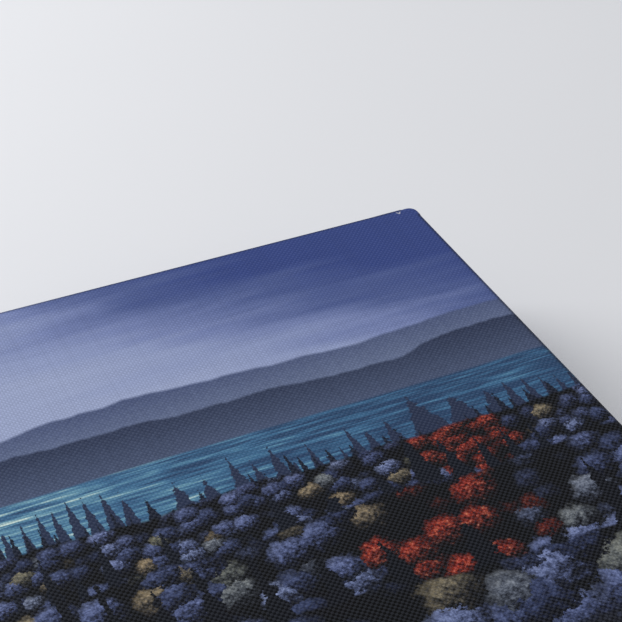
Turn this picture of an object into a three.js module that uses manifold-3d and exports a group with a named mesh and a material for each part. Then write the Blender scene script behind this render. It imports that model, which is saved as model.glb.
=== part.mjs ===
// A small stretched canvas print, lying on its back with the picture up.
// A printed canvas is pulled over a frame of four pine rails, folded in at the corners and stapled behind.
// The rails meet in mitred corners with a tongue in a slot, and two wooden keys sit in each inner corner.
// Millimetres. X runs along the width, +Y to the picture's top edge, +Z out of the picture.
// The origin is the middle of the part, on the surface that it lies on.
import * as THREE from "three";
import { mergeVertices } from "three/addons/utils/BufferGeometryUtils.js";
import Module from "manifold-3d";

const wasm = await Module();
wasm.setup();

// Driving dimensions
const WIDTH = 305; // a 12 inch canvas
const HEIGHT = 203; // an 8 inch canvas, over the folds on its long edges
const DEPTH = 38; // gallery depth
const CLOTH = 0.5; // thickness of the canvas
const GAP = 0.3; // kept between pieces that touch
const FOLD_LAYERS = 3; // layers of canvas in a folded corner
const EDGE_ROUND = 1.5; // the canvas turns round the front and back edges on this radius
const PLAN_ROUND = 2.4; // and round the upright corners on this one

// Canvas
const TURN_IN = 18; // width of the strip that is folded onto the back
const FOLD_BULGE = 0.8; // how far a folded corner stands out of a long edge
const FOLD_SETBACK = 4.5; // from the corner to the edge of the fold on a long edge
const FOLD_REACH = 30; // how far a fold's layers reach along the long edge at the back
const BACK_Z = FOLD_LAYERS * CLOTH - CLOTH; // underside of the turned-in strips, as the corners are thicker

// Rails
const RAIL_WIDTH = 24;
const RAIL_BEAD = 5; // width of the raised outer edge that carries the canvas
const RAIL_FALL = 3; // how far the front falls away inside the bead
const RAIL_EASE = 1; // eased inner edge at the back
const RAIL_BACK_Z = BACK_Z + CLOTH + GAP;
const RAIL_FRONT_Z = DEPTH - CLOTH - GAP;

// Corner joints
const TONGUE = { inset: 3, width: 18, bottom: 14.3, height: 10 };

// Keys
const KEY = { length: 24, wide: 10, narrow: 6, thick: 3.2, sunk: 12 };
const KEY_Z = { long: 11, side: 25.4 }; // the two keys of a corner lie at different heights

// Staples
const STAPLE = { crown: 10.6, wire: 0.55, across: 0.9, leg: 6.5, from_edge: 9 };
const STAPLE_Z = 0.1; // underside of a crown, just clear of the surface below
const STAPLES_LONG = 6;
const STAPLES_SIDE = 4;
const STAPLE_PITCH = 40;
const CORNER_STAPLE_IN = 11; // a corner staple's place, measured in from both edges

const cloth_x = WIDTH / 2;
const cloth_y = HEIGHT / 2 - FOLD_BULGE;
const frame_x = cloth_x - CLOTH - GAP;
const frame_y = cloth_y - CLOTH - GAP;

const MATERIALS = {
  canvas: new THREE.MeshStandardMaterial({ color: 0x4d5877, roughness: 0.6, metalness: 0 }),
  pine: new THREE.MeshStandardMaterial({ color: 0xd9b888, roughness: 0.65, metalness: 0 }),
  key: new THREE.MeshStandardMaterial({ color: 0xc9a06a, roughness: 0.7, metalness: 0 }),
  steel: new THREE.MeshStandardMaterial({ color: 0xb4b6b8, roughness: 0.35, metalness: 1 }),
};

// Conversions between three.js geometry and manifold-3d solids
function solidOf(geometry) {
  const bare = geometry.clone();
  bare.deleteAttribute("normal");
  bare.deleteAttribute("uv");
  const merged = mergeVertices(bare, 1e-4);
  return new wasm.Manifold(
    new wasm.Mesh({
      numProp: 3,
      vertProperties: new Float32Array(merged.attributes.position.array),
      triVerts: new Uint32Array(merged.index.array),
    }),
  );
}

function geometryOf(solid) {
  const mesh = solid.getMesh();
  const geometry = new THREE.BufferGeometry();
  geometry.setAttribute("position", new THREE.BufferAttribute(mesh.vertProperties, 3));
  geometry.setIndex(new THREE.BufferAttribute(mesh.triVerts, 1));
  geometry.computeVertexNormals();
  return geometry;
}

// A box between two corners
function box(low, high) {
  const size = high.map((value, i) => value - low[i]);
  const geometry = new THREE.BoxGeometry(...size);
  geometry.translate(...low.map((value, i) => value + size[i] / 2));
  return solidOf(geometry);
}

// A flat outline in X and Y, raised from one height to another
function prism(points, bottom, top) {
  const shape = new THREE.Shape(points.map(([x, y]) => new THREE.Vector2(x, y)));
  const geometry = new THREE.ExtrudeGeometry(shape, { depth: top - bottom, bevelEnabled: false });
  geometry.translate(0, 0, bottom);
  return solidOf(geometry);
}

// Canvas

// A block with round upright corners and rounded front and back edges
function roundedBlock(half_x, half_y, bottom, top, plan_round, edge_round) {
  const x = half_x - edge_round;
  const y = half_y - edge_round;
  const r = plan_round - edge_round;
  const shape = new THREE.Shape();
  shape.moveTo(-x + r, -y);
  shape.lineTo(x - r, -y);
  shape.absarc(x - r, -y + r, r, -Math.PI / 2, 0);
  shape.absarc(x - r, y - r, r, 0, Math.PI / 2);
  shape.absarc(-x + r, y - r, r, Math.PI / 2, Math.PI);
  shape.absarc(-x + r, -y + r, r, Math.PI, 1.5 * Math.PI);
  const geometry = new THREE.ExtrudeGeometry(shape, {
    depth: top - bottom - 2 * edge_round,
    bevelThickness: edge_round,
    bevelSize: edge_round,
    bevelSegments: 3,
    curveSegments: 4,
  });
  geometry.translate(0, 0, bottom + edge_round);
  return solidOf(geometry);
}

// The layers of a folded corner, which stand a little proud of the long edge and widen towards the back
function foldOnEdge(sx, sy) {
  const outer = cloth_x - FOLD_SETBACK;
  const near_front = DEPTH - EDGE_ROUND;
  const near_back = BACK_Z + EDGE_ROUND;
  const shape = new THREE.Shape();
  shape.moveTo(outer, near_back);
  shape.lineTo(outer, near_front);
  shape.lineTo(outer - FOLD_SETBACK, near_front);
  shape.lineTo(outer - FOLD_REACH, near_back);
  const depth = FOLD_BULGE + CLOTH / 2;
  const geometry = new THREE.ExtrudeGeometry(shape, { depth, bevelEnabled: false });
  geometry.rotateX(Math.PI / 2);
  geometry.translate(0, cloth_y + FOLD_BULGE, 0);
  return solidOf(geometry).scale([sx, sy, 1]);
}

// The layers of a folded corner on the back, which the part rests on
function foldOnBack(sx, sy) {
  const reach = TURN_IN;
  const inset = EDGE_ROUND;
  const x = cloth_x - inset;
  const y = cloth_y - inset;
  const points = [
    [x, y],
    [x - reach, y],
    [x - reach, y - reach + inset + FOLD_SETBACK],
    [x - reach + inset + FOLD_SETBACK, y - reach],
    [x, y - reach],
  ].reverse();
  return prism(points, 0, BACK_Z + CLOTH / 2).scale([sx, sy, 1]);
}

const CORNERS = [
  [1, 1],
  [-1, 1],
  [-1, -1],
  [1, -1],
];

function canvasSolid(staple_holes) {
  const inner_round = EDGE_ROUND - CLOTH;
  let cloth = roundedBlock(cloth_x, cloth_y, BACK_Z, DEPTH, PLAN_ROUND, EDGE_ROUND);
  const inside = roundedBlock(
    cloth_x - CLOTH,
    cloth_y - CLOTH,
    BACK_Z + CLOTH,
    DEPTH - CLOTH,
    PLAN_ROUND - CLOTH,
    inner_round,
  );
  const window_x = cloth_x - TURN_IN;
  const window_y = cloth_y - TURN_IN;
  const window_top = BACK_Z + 2 * CLOTH;
  cloth = cloth.subtract(inside);
  cloth = cloth.subtract(box([-window_x, -window_y, -CLOTH], [window_x, window_y, window_top]));
  for (const [sx, sy] of CORNERS) {
    cloth = cloth.add(foldOnEdge(sx, sy));
    cloth = cloth.add(foldOnBack(sx, sy));
  }
  for (const hole of staple_holes) cloth = cloth.subtract(hole);
  return cloth;
}

// Rails

// A bar along X whose outer edge is at +Y, with its raised bead and the fall inside it
function bar(half_length, outer) {
  const inner = outer - RAIL_WIDTH;
  const back = RAIL_BACK_Z;
  const front = RAIL_FRONT_Z;
  const profile = new THREE.Shape();
  profile.moveTo(inner + RAIL_EASE, back);
  profile.lineTo(outer, back);
  profile.lineTo(outer, front);
  profile.lineTo(outer - RAIL_BEAD, front);
  profile.lineTo(inner, front - RAIL_FALL);
  profile.lineTo(inner, back + RAIL_EASE);
  const geometry = new THREE.ExtrudeGeometry(profile, { depth: 2 * half_length, bevelEnabled: false });
  // The outline's X and Y become Y and Z, and the extrusion runs along X.
  geometry.applyMatrix4(new THREE.Matrix4().set(0, 0, 1, -half_length, 1, 0, 0, 0, 0, 1, 0, 0, 0, 0, 0, 1));
  return solidOf(geometry);
}

// The wedge of plan that a rail keeps once its ends are mitred, with half of the gap left at each cut
function mitred(half_length, outer) {
  const reach = RAIL_WIDTH + 1;
  const end = half_length - GAP / Math.SQRT2;
  return prism(
    [
      [-end - 1, outer + 1],
      [-end + reach, outer - reach],
      [end - reach, outer - reach],
      [end + 1, outer + 1],
    ],
    0,
    DEPTH,
  );
}

// The frame's outside, rounded to lie inside the canvas
const frame_block = roundedBlock(
  frame_x,
  frame_y,
  RAIL_BACK_Z,
  RAIL_FRONT_Z,
  PLAN_ROUND - CLOTH - GAP,
  EDGE_ROUND - CLOTH - GAP,
);

// The tongue of a side rail, in the corner at +X +Y, grown by a margin to make the slot for it
function tongue(margin) {
  const { inset, width, bottom, height } = TONGUE;
  const outer_x = frame_x - inset;
  return box(
    [outer_x - width - margin, frame_y - RAIL_WIDTH - 1 - margin, bottom - margin],
    [outer_x + margin, frame_y - inset + margin, bottom + height + margin],
  );
}

// A key as it lies in the corner at +X +Y: along Y in a long rail, or along X in a side rail
function key(in_long_rail, margin) {
  const { length, wide, narrow, thick, sunk } = KEY;
  const inner_x = frame_x - RAIL_WIDTH;
  const inner_y = frame_y - RAIL_WIDTH;
  const bottom = in_long_rail ? KEY_Z.long : KEY_Z.side;
  const along = (in_long_rail ? inner_y : inner_x) + sunk;
  const side = (in_long_rail ? inner_x : inner_y) - GAP;
  const outline = [
    [along + margin, side + margin],
    [along + margin, side - narrow - margin],
    [along - length, side - wide - margin],
    [along - length, side + margin],
  ];
  const points = in_long_rail ? outline.map(([a, b]) => [b, a]).reverse() : outline;
  return prism(points, bottom - margin, bottom + thick + margin);
}

function longRail(staple_holes, sy) {
  let rail = bar(frame_x, frame_y).intersect(mitred(frame_x, frame_y));
  for (const sx of [1, -1]) {
    rail = rail.subtract(tongue(GAP).scale([sx, 1, 1]));
    rail = rail.subtract(key(true, GAP).scale([sx, 1, 1]));
  }
  rail = rail.scale([1, sy, 1]).intersect(frame_block);
  for (const hole of staple_holes) rail = rail.subtract(hole);
  return rail;
}

function sideRail(staple_holes, sx) {
  let rail = bar(frame_y, frame_x).intersect(mitred(frame_y, frame_x)).rotate([0, 0, -90]);
  for (const sy of [1, -1]) {
    rail = rail.add(tongue(0).scale([1, sy, 1]));
    rail = rail.subtract(key(false, GAP).scale([1, sy, 1]));
  }
  rail = rail.scale([sx, 1, 1]).intersect(frame_block);
  for (const hole of staple_holes) rail = rail.subtract(hole);
  return rail;
}

// Staples

// A staple, grown by a margin to make the hole for it. Its crown lies along the given angle.
function staple(x, y, degrees, margin) {
  const { crown, wire, across, leg } = STAPLE;
  const half = crown / 2 + margin;
  const width = across / 2 + margin;
  const low = STAPLE_Z - margin;
  const crown_top = STAPLE_Z + wire + margin;
  const leg_top = STAPLE_Z + wire + leg + margin;
  const leg_inside = crown / 2 - wire - margin;
  return box([-half, -width, low], [half, width, crown_top])
    .add(box([-half, -width, low], [-leg_inside, width, leg_top]))
    .add(box([leg_inside, -width, low], [half, width, leg_top]))
    .rotate([0, 0, degrees])
    .translate([x, y, 0]);
}

function staplePlaces() {
  const places = [];
  const row = (count) => Array.from({ length: count }, (_, i) => (i - (count - 1) / 2) * STAPLE_PITCH);
  const x_side = cloth_x - STAPLE.from_edge;
  const y_long = cloth_y - STAPLE.from_edge;
  row(STAPLES_LONG).forEach((x, i) => {
    places.push({ name: `staple_top_${i + 1}`, x, y: y_long, degrees: 0 });
    places.push({ name: `staple_bottom_${i + 1}`, x, y: -y_long, degrees: 0 });
  });
  row(STAPLES_SIDE).forEach((y, i) => {
    places.push({ name: `staple_right_${i + 1}`, x: x_side, y, degrees: 90 });
    places.push({ name: `staple_left_${i + 1}`, x: -x_side, y, degrees: 90 });
  });
  CORNERS.forEach(([sx, sy], i) => {
    const x = sx * (cloth_x - CORNER_STAPLE_IN);
    const y = sy * (cloth_y - CORNER_STAPLE_IN);
    places.push({ name: `staple_corner_${i + 1}`, x, y, degrees: sx * sy * 45 });
  });
  return places;
}

// The whole part
const print = new THREE.Group();

function addNode(name, solid, material) {
  const mesh = new THREE.Mesh(geometryOf(solid), material);
  mesh.name = name;
  print.add(mesh);
}

const places = staplePlaces();
const holes = places.map(({ x, y, degrees }) => staple(x, y, degrees, GAP));

addNode("canvas", canvasSolid(holes), MATERIALS.canvas);
addNode("rail_top", longRail(holes, 1), MATERIALS.pine);
addNode("rail_bottom", longRail(holes, -1), MATERIALS.pine);
addNode("rail_right", sideRail(holes, 1), MATERIALS.pine);
addNode("rail_left", sideRail(holes, -1), MATERIALS.pine);
CORNERS.forEach(([sx, sy], i) => {
  addNode(`key_long_${i + 1}`, key(true, 0).scale([sx, sy, 1]), MATERIALS.key);
  addNode(`key_side_${i + 1}`, key(false, 0).scale([sx, sy, 1]), MATERIALS.key);
});
for (const { name, x, y, degrees } of places) {
  addNode(name, staple(x, y, degrees, 0), MATERIALS.steel);
}

export default print;
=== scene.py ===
"""A small stretched canvas print, lying on its back on a pale floor.

The printed canvas is wrapped round a pine stretcher frame, folded in at the corners and stapled behind.
Sizes in the classes are millimetres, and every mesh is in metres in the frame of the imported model.
"""
import logging
import math
from dataclasses import dataclass, field
from enum import Enum

import bpy
from mathutils import Matrix, Vector, noise

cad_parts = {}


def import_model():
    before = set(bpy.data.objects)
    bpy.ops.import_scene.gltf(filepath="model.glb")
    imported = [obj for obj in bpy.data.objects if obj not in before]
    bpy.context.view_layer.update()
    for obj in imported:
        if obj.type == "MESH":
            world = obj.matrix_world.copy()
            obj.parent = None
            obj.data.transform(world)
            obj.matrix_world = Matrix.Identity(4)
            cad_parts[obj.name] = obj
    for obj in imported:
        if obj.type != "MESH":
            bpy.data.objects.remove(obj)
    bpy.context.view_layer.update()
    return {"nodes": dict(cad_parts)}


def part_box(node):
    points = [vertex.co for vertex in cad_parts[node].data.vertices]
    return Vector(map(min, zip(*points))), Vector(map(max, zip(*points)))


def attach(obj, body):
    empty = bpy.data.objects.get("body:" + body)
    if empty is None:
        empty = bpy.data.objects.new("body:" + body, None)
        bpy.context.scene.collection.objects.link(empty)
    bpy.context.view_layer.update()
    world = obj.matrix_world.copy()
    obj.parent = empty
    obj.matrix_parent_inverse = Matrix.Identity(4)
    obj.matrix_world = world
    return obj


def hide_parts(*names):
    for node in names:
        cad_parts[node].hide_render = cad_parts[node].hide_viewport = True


LOG = logging.getLogger("canvas_print")
MM = 0.001

Point = tuple[float, float, float]


def linear(hex_colour: str) -> tuple[float, float, float, float]:
    """Turns an sRGB hex colour to linear light.

    Args:
        hex_colour: Six hex digits after a #.

    Returns:
        Red, green, blue and an alpha of 1.
    """
    parts = [int(hex_colour[i : i + 2], 16) / 255 for i in (1, 3, 5)]
    turned = [c / 12.92 if c <= 0.04045 else ((c + 0.055) / 1.055) ** 2.4 for c in parts]
    return (turned[0], turned[1], turned[2], 1.0)


def add(
    tree: bpy.types.NodeTree,
    kind: str,
    inputs: dict | None = None,
    output: int | str = 0,
    ramp: list[tuple[float, str]] | None = None,
    **settings: object,
) -> bpy.types.NodeSocket:
    """Adds a shader node with its settings and links.

    Args:
        tree: The material's node tree.
        kind: The node's type name.
        inputs: A value or a socket to link, for each input by name or number.
        output: The output to give back.
        ramp: Stops of a colour ramp, as place and hex colour.
        **settings: The node's own properties.

    Returns:
        The chosen output socket.
    """
    item = tree.nodes.new(kind)
    for name, value in settings.items():
        setattr(item, name, value)
    for key, value in (inputs or {}).items():
        if isinstance(value, bpy.types.NodeSocket):
            tree.links.new(value, item.inputs[key])
        else:
            item.inputs[key].default_value = value
    if ramp:
        stops = item.color_ramp.elements
        while len(stops) > 1:
            stops.remove(stops[-1])
        stops[0].position, stops[0].color = ramp[0][0], linear(ramp[0][1])
        for place, colour in ramp[1:]:
            stops.new(place).color = linear(colour)
    return item.outputs[output]


def new_material(name: str) -> tuple[bpy.types.Material, bpy.types.NodeTree, bpy.types.Node]:
    """Makes a material with one Principled shader.

    Args:
        name: The material's name.

    Returns:
        The material, its tree and its shader node.
    """
    material = bpy.data.materials.new(name)
    material.use_nodes = True
    tree = material.node_tree
    return material, tree, tree.nodes["Principled BSDF"]


def ease(value: float, low: float, high: float) -> float:
    """Rises smoothly from 0 at low to 1 at high."""
    t = min(1.0, max(0.0, (value - low) / (high - low)))
    return t * t * (3 - 2 * t)


class Layer(Enum):
    """The tiers of the printed landscape, from far to near, each with its top line and how ragged that is."""

    FAR_RIDGE = (44.0, 9.0, 70.0)
    NEAR_RIDGE = (33.0, 8.0, 46.0)
    WATER = (17.0, 0.8, 90.0)
    FAR_BANK = (-3.0, 4.0, 30.0)
    MIDDLE_BANK = (-22.0, 9.0, 34.0)
    NEAR_BANK = (-52.0, 12.0, 46.0)
    MEADOW = (-84.0, 16.0, 80.0)


@dataclass(frozen=True)
class Weave:
    """A plain weave of cotton duck: each thread goes over one and under the next.

    The beads of the crossings catch the light in turn along and across, which gives the fine diagonal
    checker that shows through the print.
    """

    thread: float = 0.8
    relief: float = 0.05
    wander: float = 0.9
    wander_length: float = 14.0

    def build(self, tree: bpy.types.NodeTree) -> dict[str, bpy.types.NodeSocket]:
        """Adds the weave's height and its masks.

        Args:
            tree: The material's tree.

        Returns:
            By name: the cloth's coordinates in millimetres, the thread height, the mask of the threads that run
            up and the thick threads.
        """
        uv = add(tree, "ShaderNodeUVMap", uv_map="cloth")
        cloth = add(tree, "ShaderNodeVectorMath", {0: uv, 3: 1000.0}, operation="SCALE")
        wander = add(
            tree,
            "ShaderNodeTexNoise",
            {"Vector": cloth, "Scale": 1 / self.wander_length, "Detail": 3.0},
            output="Color",
        )
        wander = add(
            tree,
            "ShaderNodeVectorMath",
            {0: wander, 1: (0.5, 0.5, 0.5)},
            operation="SUBTRACT",
        )
        wander = add(tree, "ShaderNodeVectorMath", {0: wander, 3: self.wander}, operation="SCALE")
        place = add(tree, "ShaderNodeVectorMath", {0: cloth, 1: wander}, operation="ADD")
        turned = add(
            tree, "ShaderNodeVectorMath", {0: place, 3: math.pi / self.thread}, operation="SCALE"
        )
        wave = add(tree, "ShaderNodeVectorMath", {0: turned}, operation="SINE")
        across = add(tree, "ShaderNodeSeparateXYZ", {0: wave}, output=0)
        along = add(tree, "ShaderNodeSeparateXYZ", {0: wave}, output=1)
        checker = add(tree, "ShaderNodeMath", {0: across, 1: along}, operation="MULTIPLY")
        over = add(
            tree,
            "ShaderNodeMapRange",
            {"Value": checker, "From Min": -0.22, "From Max": 0.22},
            interpolation_type="SMOOTHSTEP",
        )
        up = add(tree, "ShaderNodeMath", {0: across}, operation="ABSOLUTE")
        side = add(tree, "ShaderNodeMath", {0: along}, operation="ABSOLUTE")
        up_round = add(tree, "ShaderNodeMath", {0: up, 1: 0.6}, operation="POWER")
        side_round = add(tree, "ShaderNodeMath", {0: side, 1: 0.6}, operation="POWER")
        up_arch = add(tree, "ShaderNodeMath", {0: side, 1: 0.45, 2: 0.55}, operation="MULTIPLY_ADD")
        side_arch = add(tree, "ShaderNodeMath", {0: up, 1: 0.45, 2: 0.55}, operation="MULTIPLY_ADD")
        up_height = add(tree, "ShaderNodeMath", {0: up_round, 1: up_arch}, operation="MULTIPLY")
        side_height = add(tree, "ShaderNodeMath", {0: side_round, 1: side_arch}, operation="MULTIPLY")
        height = add(tree, "ShaderNodeMix", {0: over, 2: side_height, 3: up_height})
        # A thick thread now and then, as cotton duck has.
        streaks = add(tree, "ShaderNodeMapping", {"Vector": cloth, "Scale": (1 / 1.6, 1 / 60.0, 1.0)})
        slubs = add(tree, "ShaderNodeTexNoise", {"Vector": streaks, "Scale": 1.0, "Detail": 1.0})
        streaks = add(tree, "ShaderNodeMapping", {"Vector": cloth, "Scale": (1 / 45.0, 1 / 1.6, 1.0)})
        weft = add(tree, "ShaderNodeTexNoise", {"Vector": streaks, "Scale": 1.0, "Detail": 1.0})
        slubs = add(tree, "ShaderNodeMix", {0: over, 2: weft, 3: slubs})
        height = add(tree, "ShaderNodeMath", {0: slubs, 1: 0.45, 2: height}, operation="MULTIPLY_ADD")
        return {"cloth": cloth, "height": height, "over": over, "slubs": slubs}


@dataclass(frozen=True)
class PrintedCanvas:
    """Primed cotton canvas with a pigment print under a satin varnish.

    The ink lies on the threads, so the weave shows through it as a fine checker and breaks up the gloss.
    The picture is a plain dusk landscape of no particular place: streaked sky, ridges, a strip of water,
    spruces and leafy trees, some of them red, and a dark meadow. It runs on round the sides, as on a wrapped
    print, and stops a few millimetres onto the back, where the white priming shows.
    """

    half_width: float = 152.5
    half_height: float = 100.7
    printed_turn: float = 43.0
    nick: Point = (145.8, 98.0, 0.0)
    rubbed_from: Point = (151.8, 99.9, 0.0)
    ink_gamma: float = 1.28
    gloss: float = 0.09
    weave: Weave = Weave()

    def below(
        self, tree: bpy.types.NodeTree, cloth: bpy.types.NodeSocket, layer: Layer, soft: float, seed: float
    ) -> bpy.types.NodeSocket:
        """Makes the mask of all that lies under a tier's top line.

        Args:
            tree: The material's tree.
            cloth: The cloth's coordinates in millimetres.
            layer: The tier.
            soft: Width of the line's edge in millimetres.
            seed: Moves the line's noise, so that no two tiers match.

        Returns:
            The mask.
        """
        line, rise, length = layer.value
        sideways = add(
            tree,
            "ShaderNodeMapping",
            {"Vector": cloth, "Location": (seed, seed, seed), "Scale": (1 / length, 0.0, 0.0)},
        )
        shape = add(
            tree,
            "ShaderNodeTexNoise",
            {"Vector": sideways, "Scale": 1.0, "Detail": 5.0, "Roughness": 0.52},
        )
        height = add(tree, "ShaderNodeSeparateXYZ", {0: cloth}, output=1)
        top = add(
            tree,
            "ShaderNodeMath",
            {0: shape, 1: 2 * rise, 2: line - rise},
            operation="MULTIPLY_ADD",
        )
        gap = add(tree, "ShaderNodeMath", {0: top, 1: height}, operation="SUBTRACT")
        return add(tree, "ShaderNodeMapRange", {"Value": gap, "From Min": -soft, "From Max": soft})

    def sky(self, tree: bpy.types.NodeTree, cloth: bpy.types.NodeSocket) -> bpy.types.NodeSocket:
        """Paints the streaked dusk sky.

        Args:
            tree: The material's tree.
            cloth: The cloth's coordinates in millimetres.

        Returns:
            The colour.
        """
        drawn = add(
            tree,
            "ShaderNodeMapping",
            {"Vector": cloth, "Scale": (1 / 85.0, 1 / 11.0, 1.0), "Rotation": (0.0, 0.0, 0.05)},
        )
        streaks = add(
            tree,
            "ShaderNodeTexNoise",
            {"Vector": drawn, "Scale": 1.0, "Detail": 6.0, "Roughness": 0.55, "Distortion": 0.35},
        )
        height = add(tree, "ShaderNodeSeparateXYZ", {0: cloth}, output=1)
        sideways = add(tree, "ShaderNodeSeparateXYZ", {0: cloth}, output=0)
        rise = add(
            tree,
            "ShaderNodeMapRange",
            {"Value": height, "From Min": 30.0, "From Max": 104.0},
            clamp=False,
        )
        lean = add(tree, "ShaderNodeMath", {0: sideways, 1: 1 / 160.0, 2: rise}, operation="MULTIPLY_ADD")
        mixed = add(tree, "ShaderNodeMath", {0: streaks, 1: 0.75, 2: lean}, operation="MULTIPLY_ADD")
        place = add(tree, "ShaderNodeMath", {0: mixed, 1: 0.8}, operation="SUBTRACT")
        return add(
            tree,
            "ShaderNodeValToRGB",
            {"Fac": place},
            ramp=[
                (0.0, "#a9b2cd"),
                (0.28, "#9fa9c8"),
                (0.5, "#8a95bb"),
                (0.75, "#64729f"),
                (1.0, "#4a5b92"),
            ],
        )

    def ridge(
        self, tree: bpy.types.NodeTree, cloth: bpy.types.NodeSocket, colours: tuple[str, str], line: float
    ) -> bpy.types.NodeSocket:
        """Paints a wooded ridge that pales towards its foot.

        Args:
            tree: The material's tree.
            cloth: The cloth's coordinates in millimetres.
            colours: The hex colours at the foot and on the crest.
            line: Height of the crest in millimetres.

        Returns:
            The colour.
        """
        height = add(tree, "ShaderNodeSeparateXYZ", {0: cloth}, output=1)
        trees = add(tree, "ShaderNodeTexNoise", {"Vector": cloth, "Scale": 0.7, "Detail": 5.0})
        rough = add(tree, "ShaderNodeMath", {0: trees, 1: 15.0, 2: height}, operation="MULTIPLY_ADD")
        fade = add(
            tree,
            "ShaderNodeMapRange",
            {"Value": rough, "From Min": line - 18.0, "From Max": line + 10.0},
        )
        return add(tree, "ShaderNodeValToRGB", {"Fac": fade}, ramp=[(0.0, colours[0]), (1.0, colours[1])])

    def water(self, tree: bpy.types.NodeTree, cloth: bpy.types.NodeSocket) -> bpy.types.NodeSocket:
        """Paints the strip of water with its pale glints.

        Args:
            tree: The material's tree.
            cloth: The cloth's coordinates in millimetres.

        Returns:
            The colour.
        """
        drawn = add(tree, "ShaderNodeMapping", {"Vector": cloth, "Scale": (1 / 24.0, 1 / 1.5, 1.0)})
        ripples = add(
            tree, "ShaderNodeTexNoise", {"Vector": drawn, "Scale": 1.0, "Detail": 4.0, "Roughness": 0.6}
        )
        sideways = add(tree, "ShaderNodeSeparateXYZ", {0: cloth}, output=0)
        glint = add(
            tree,
            "ShaderNodeMapRange",
            {"Value": sideways, "From Min": 90.0, "From Max": -40.0, "To Min": -0.16, "To Max": 0.08},
        )
        place = add(tree, "ShaderNodeMath", {0: ripples, 1: glint}, operation="ADD")
        return add(
            tree,
            "ShaderNodeValToRGB",
            {"Fac": place},
            ramp=[
                (0.3, "#3c5878"),
                (0.46, "#5580a0"),
                (0.58, "#7ea7b8"),
                (0.68, "#c9d9d3"),
                (0.8, "#e6eee2"),
            ],
        )

    def crowns(
        self,
        tree: bpy.types.NodeTree,
        cloth: bpy.types.NodeSocket,
        size: float,
        seed: float,
        autumn: tuple[float, float, float],
    ) -> bpy.types.NodeSocket:
        """Paints a bank of leafy tree crowns, lit from above, with dark gaps between them.

        Args:
            tree: The material's tree.
            cloth: The cloth's coordinates in millimetres.
            size: How wide a crown is, in millimetres.
            seed: Moves the pattern, so that no two banks match.
            autumn: The middle and the reach of the red trees among them.

        Returns:
            The colour.
        """
        bent = add(
            tree,
            "ShaderNodeTexNoise",
            {"Vector": cloth, "Scale": 3.4 / size, "Detail": 7.0, "Roughness": 0.72},
            output="Color",
        )
        bent = add(tree, "ShaderNodeVectorMath", {0: bent, 3: 0.85 * size}, operation="SCALE")
        bent = add(tree, "ShaderNodeVectorMath", {0: cloth, 1: bent}, operation="ADD")
        wide, tall = 1 / size, 1.1 / size
        place = add(
            tree,
            "ShaderNodeMapping",
            {"Vector": bent, "Location": (seed, seed, 0.0), "Scale": (wide, tall, 0.0)},
        )
        cells = {"Vector": place, "Scale": 1.0, "Randomness": 0.9}
        away = add(tree, "ShaderNodeTexVoronoi", cells, output=0)
        kind = add(tree, "ShaderNodeTexVoronoi", cells, output=1)
        middle = add(tree, "ShaderNodeTexVoronoi", cells, output=2)
        local = add(tree, "ShaderNodeVectorMath", {0: place, 1: middle}, operation="SUBTRACT")
        lit = add(
            tree,
            "ShaderNodeVectorMath",
            {0: local, 1: (-0.25, 0.62, 0.0)},
            output="Value",
            operation="DOT_PRODUCT",
        )
        sprays = add(
            tree,
            "ShaderNodeTexNoise",
            {"Vector": cloth, "Scale": 6.5 / size, "Detail": 8.0, "Roughness": 0.78},
        )
        shade = add(tree, "ShaderNodeMath", {0: sprays, 1: 1.9, 2: lit}, operation="MULTIPLY_ADD")
        shade = add(tree, "ShaderNodeMath", {0: shade, 1: 0.55}, operation="SUBTRACT")
        chance = add(tree, "ShaderNodeSeparateXYZ", {0: kind}, output=0)
        body = add(
            tree,
            "ShaderNodeValToRGB",
            {"Fac": chance},
            ramp=[
                (0.0, "#4c5570"),
                (0.35, "#626b88"),
                (0.6, "#7b84a3"),
                (0.8, "#8b94ad"),
                (0.9, "#80806f"),
                (1.0, "#9c8b70"),
            ],
        )
        leaf = add(
            tree,
            "ShaderNodeValToRGB",
            {"Fac": sprays},
            ramp=[(0.36, "#561f1a"), (0.47, "#8c3428"), (0.55, "#a94c38"), (0.66, "#b98a70")],
        )
        spot_x, spot_y, reach = autumn
        from_spot = add(
            tree,
            "ShaderNodeVectorMath",
            {0: middle, 1: (spot_x * wide + seed, spot_y * tall + seed, 0.0)},
            output="Value",
            operation="DISTANCE",
        )
        other = add(tree, "ShaderNodeSeparateXYZ", {0: kind}, output=1)
        picked = add(tree, "ShaderNodeMath", {0: other, 1: 0.9, 2: from_spot}, operation="MULTIPLY_ADD")
        turned = add(tree, "ShaderNodeMath", {0: picked, 1: reach / size}, operation="LESS_THAN")
        body = add(tree, "ShaderNodeMix", {0: turned, 6: body, 7: leaf}, output=2, data_type="RGBA")
        light = add(
            tree,
            "ShaderNodeValToRGB",
            {"Fac": shade},
            ramp=[
                (0.0, "#090a0f"),
                (0.26, "#3a3d49"),
                (0.5, "#a4a8b4"),
                (0.72, "#e6e8ee"),
                (0.95, "#ffffff"),
            ],
        )
        painted = add(
            tree,
            "ShaderNodeMix",
            {0: 1.0, 6: body, 7: light},
            output=2,
            data_type="RGBA",
            blend_type="MULTIPLY",
        )
        painted = add(tree, "ShaderNodeHueSaturation", {"Color": painted, "Value": 1.5})
        gap = add(tree, "ShaderNodeMapRange", {"Value": away, "From Min": 0.45, "From Max": 0.72})
        return add(
            tree,
            "ShaderNodeMix",
            {0: gap, 6: painted, 7: linear("#06070b")},
            output=2,
            data_type="RGBA",
        )

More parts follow.
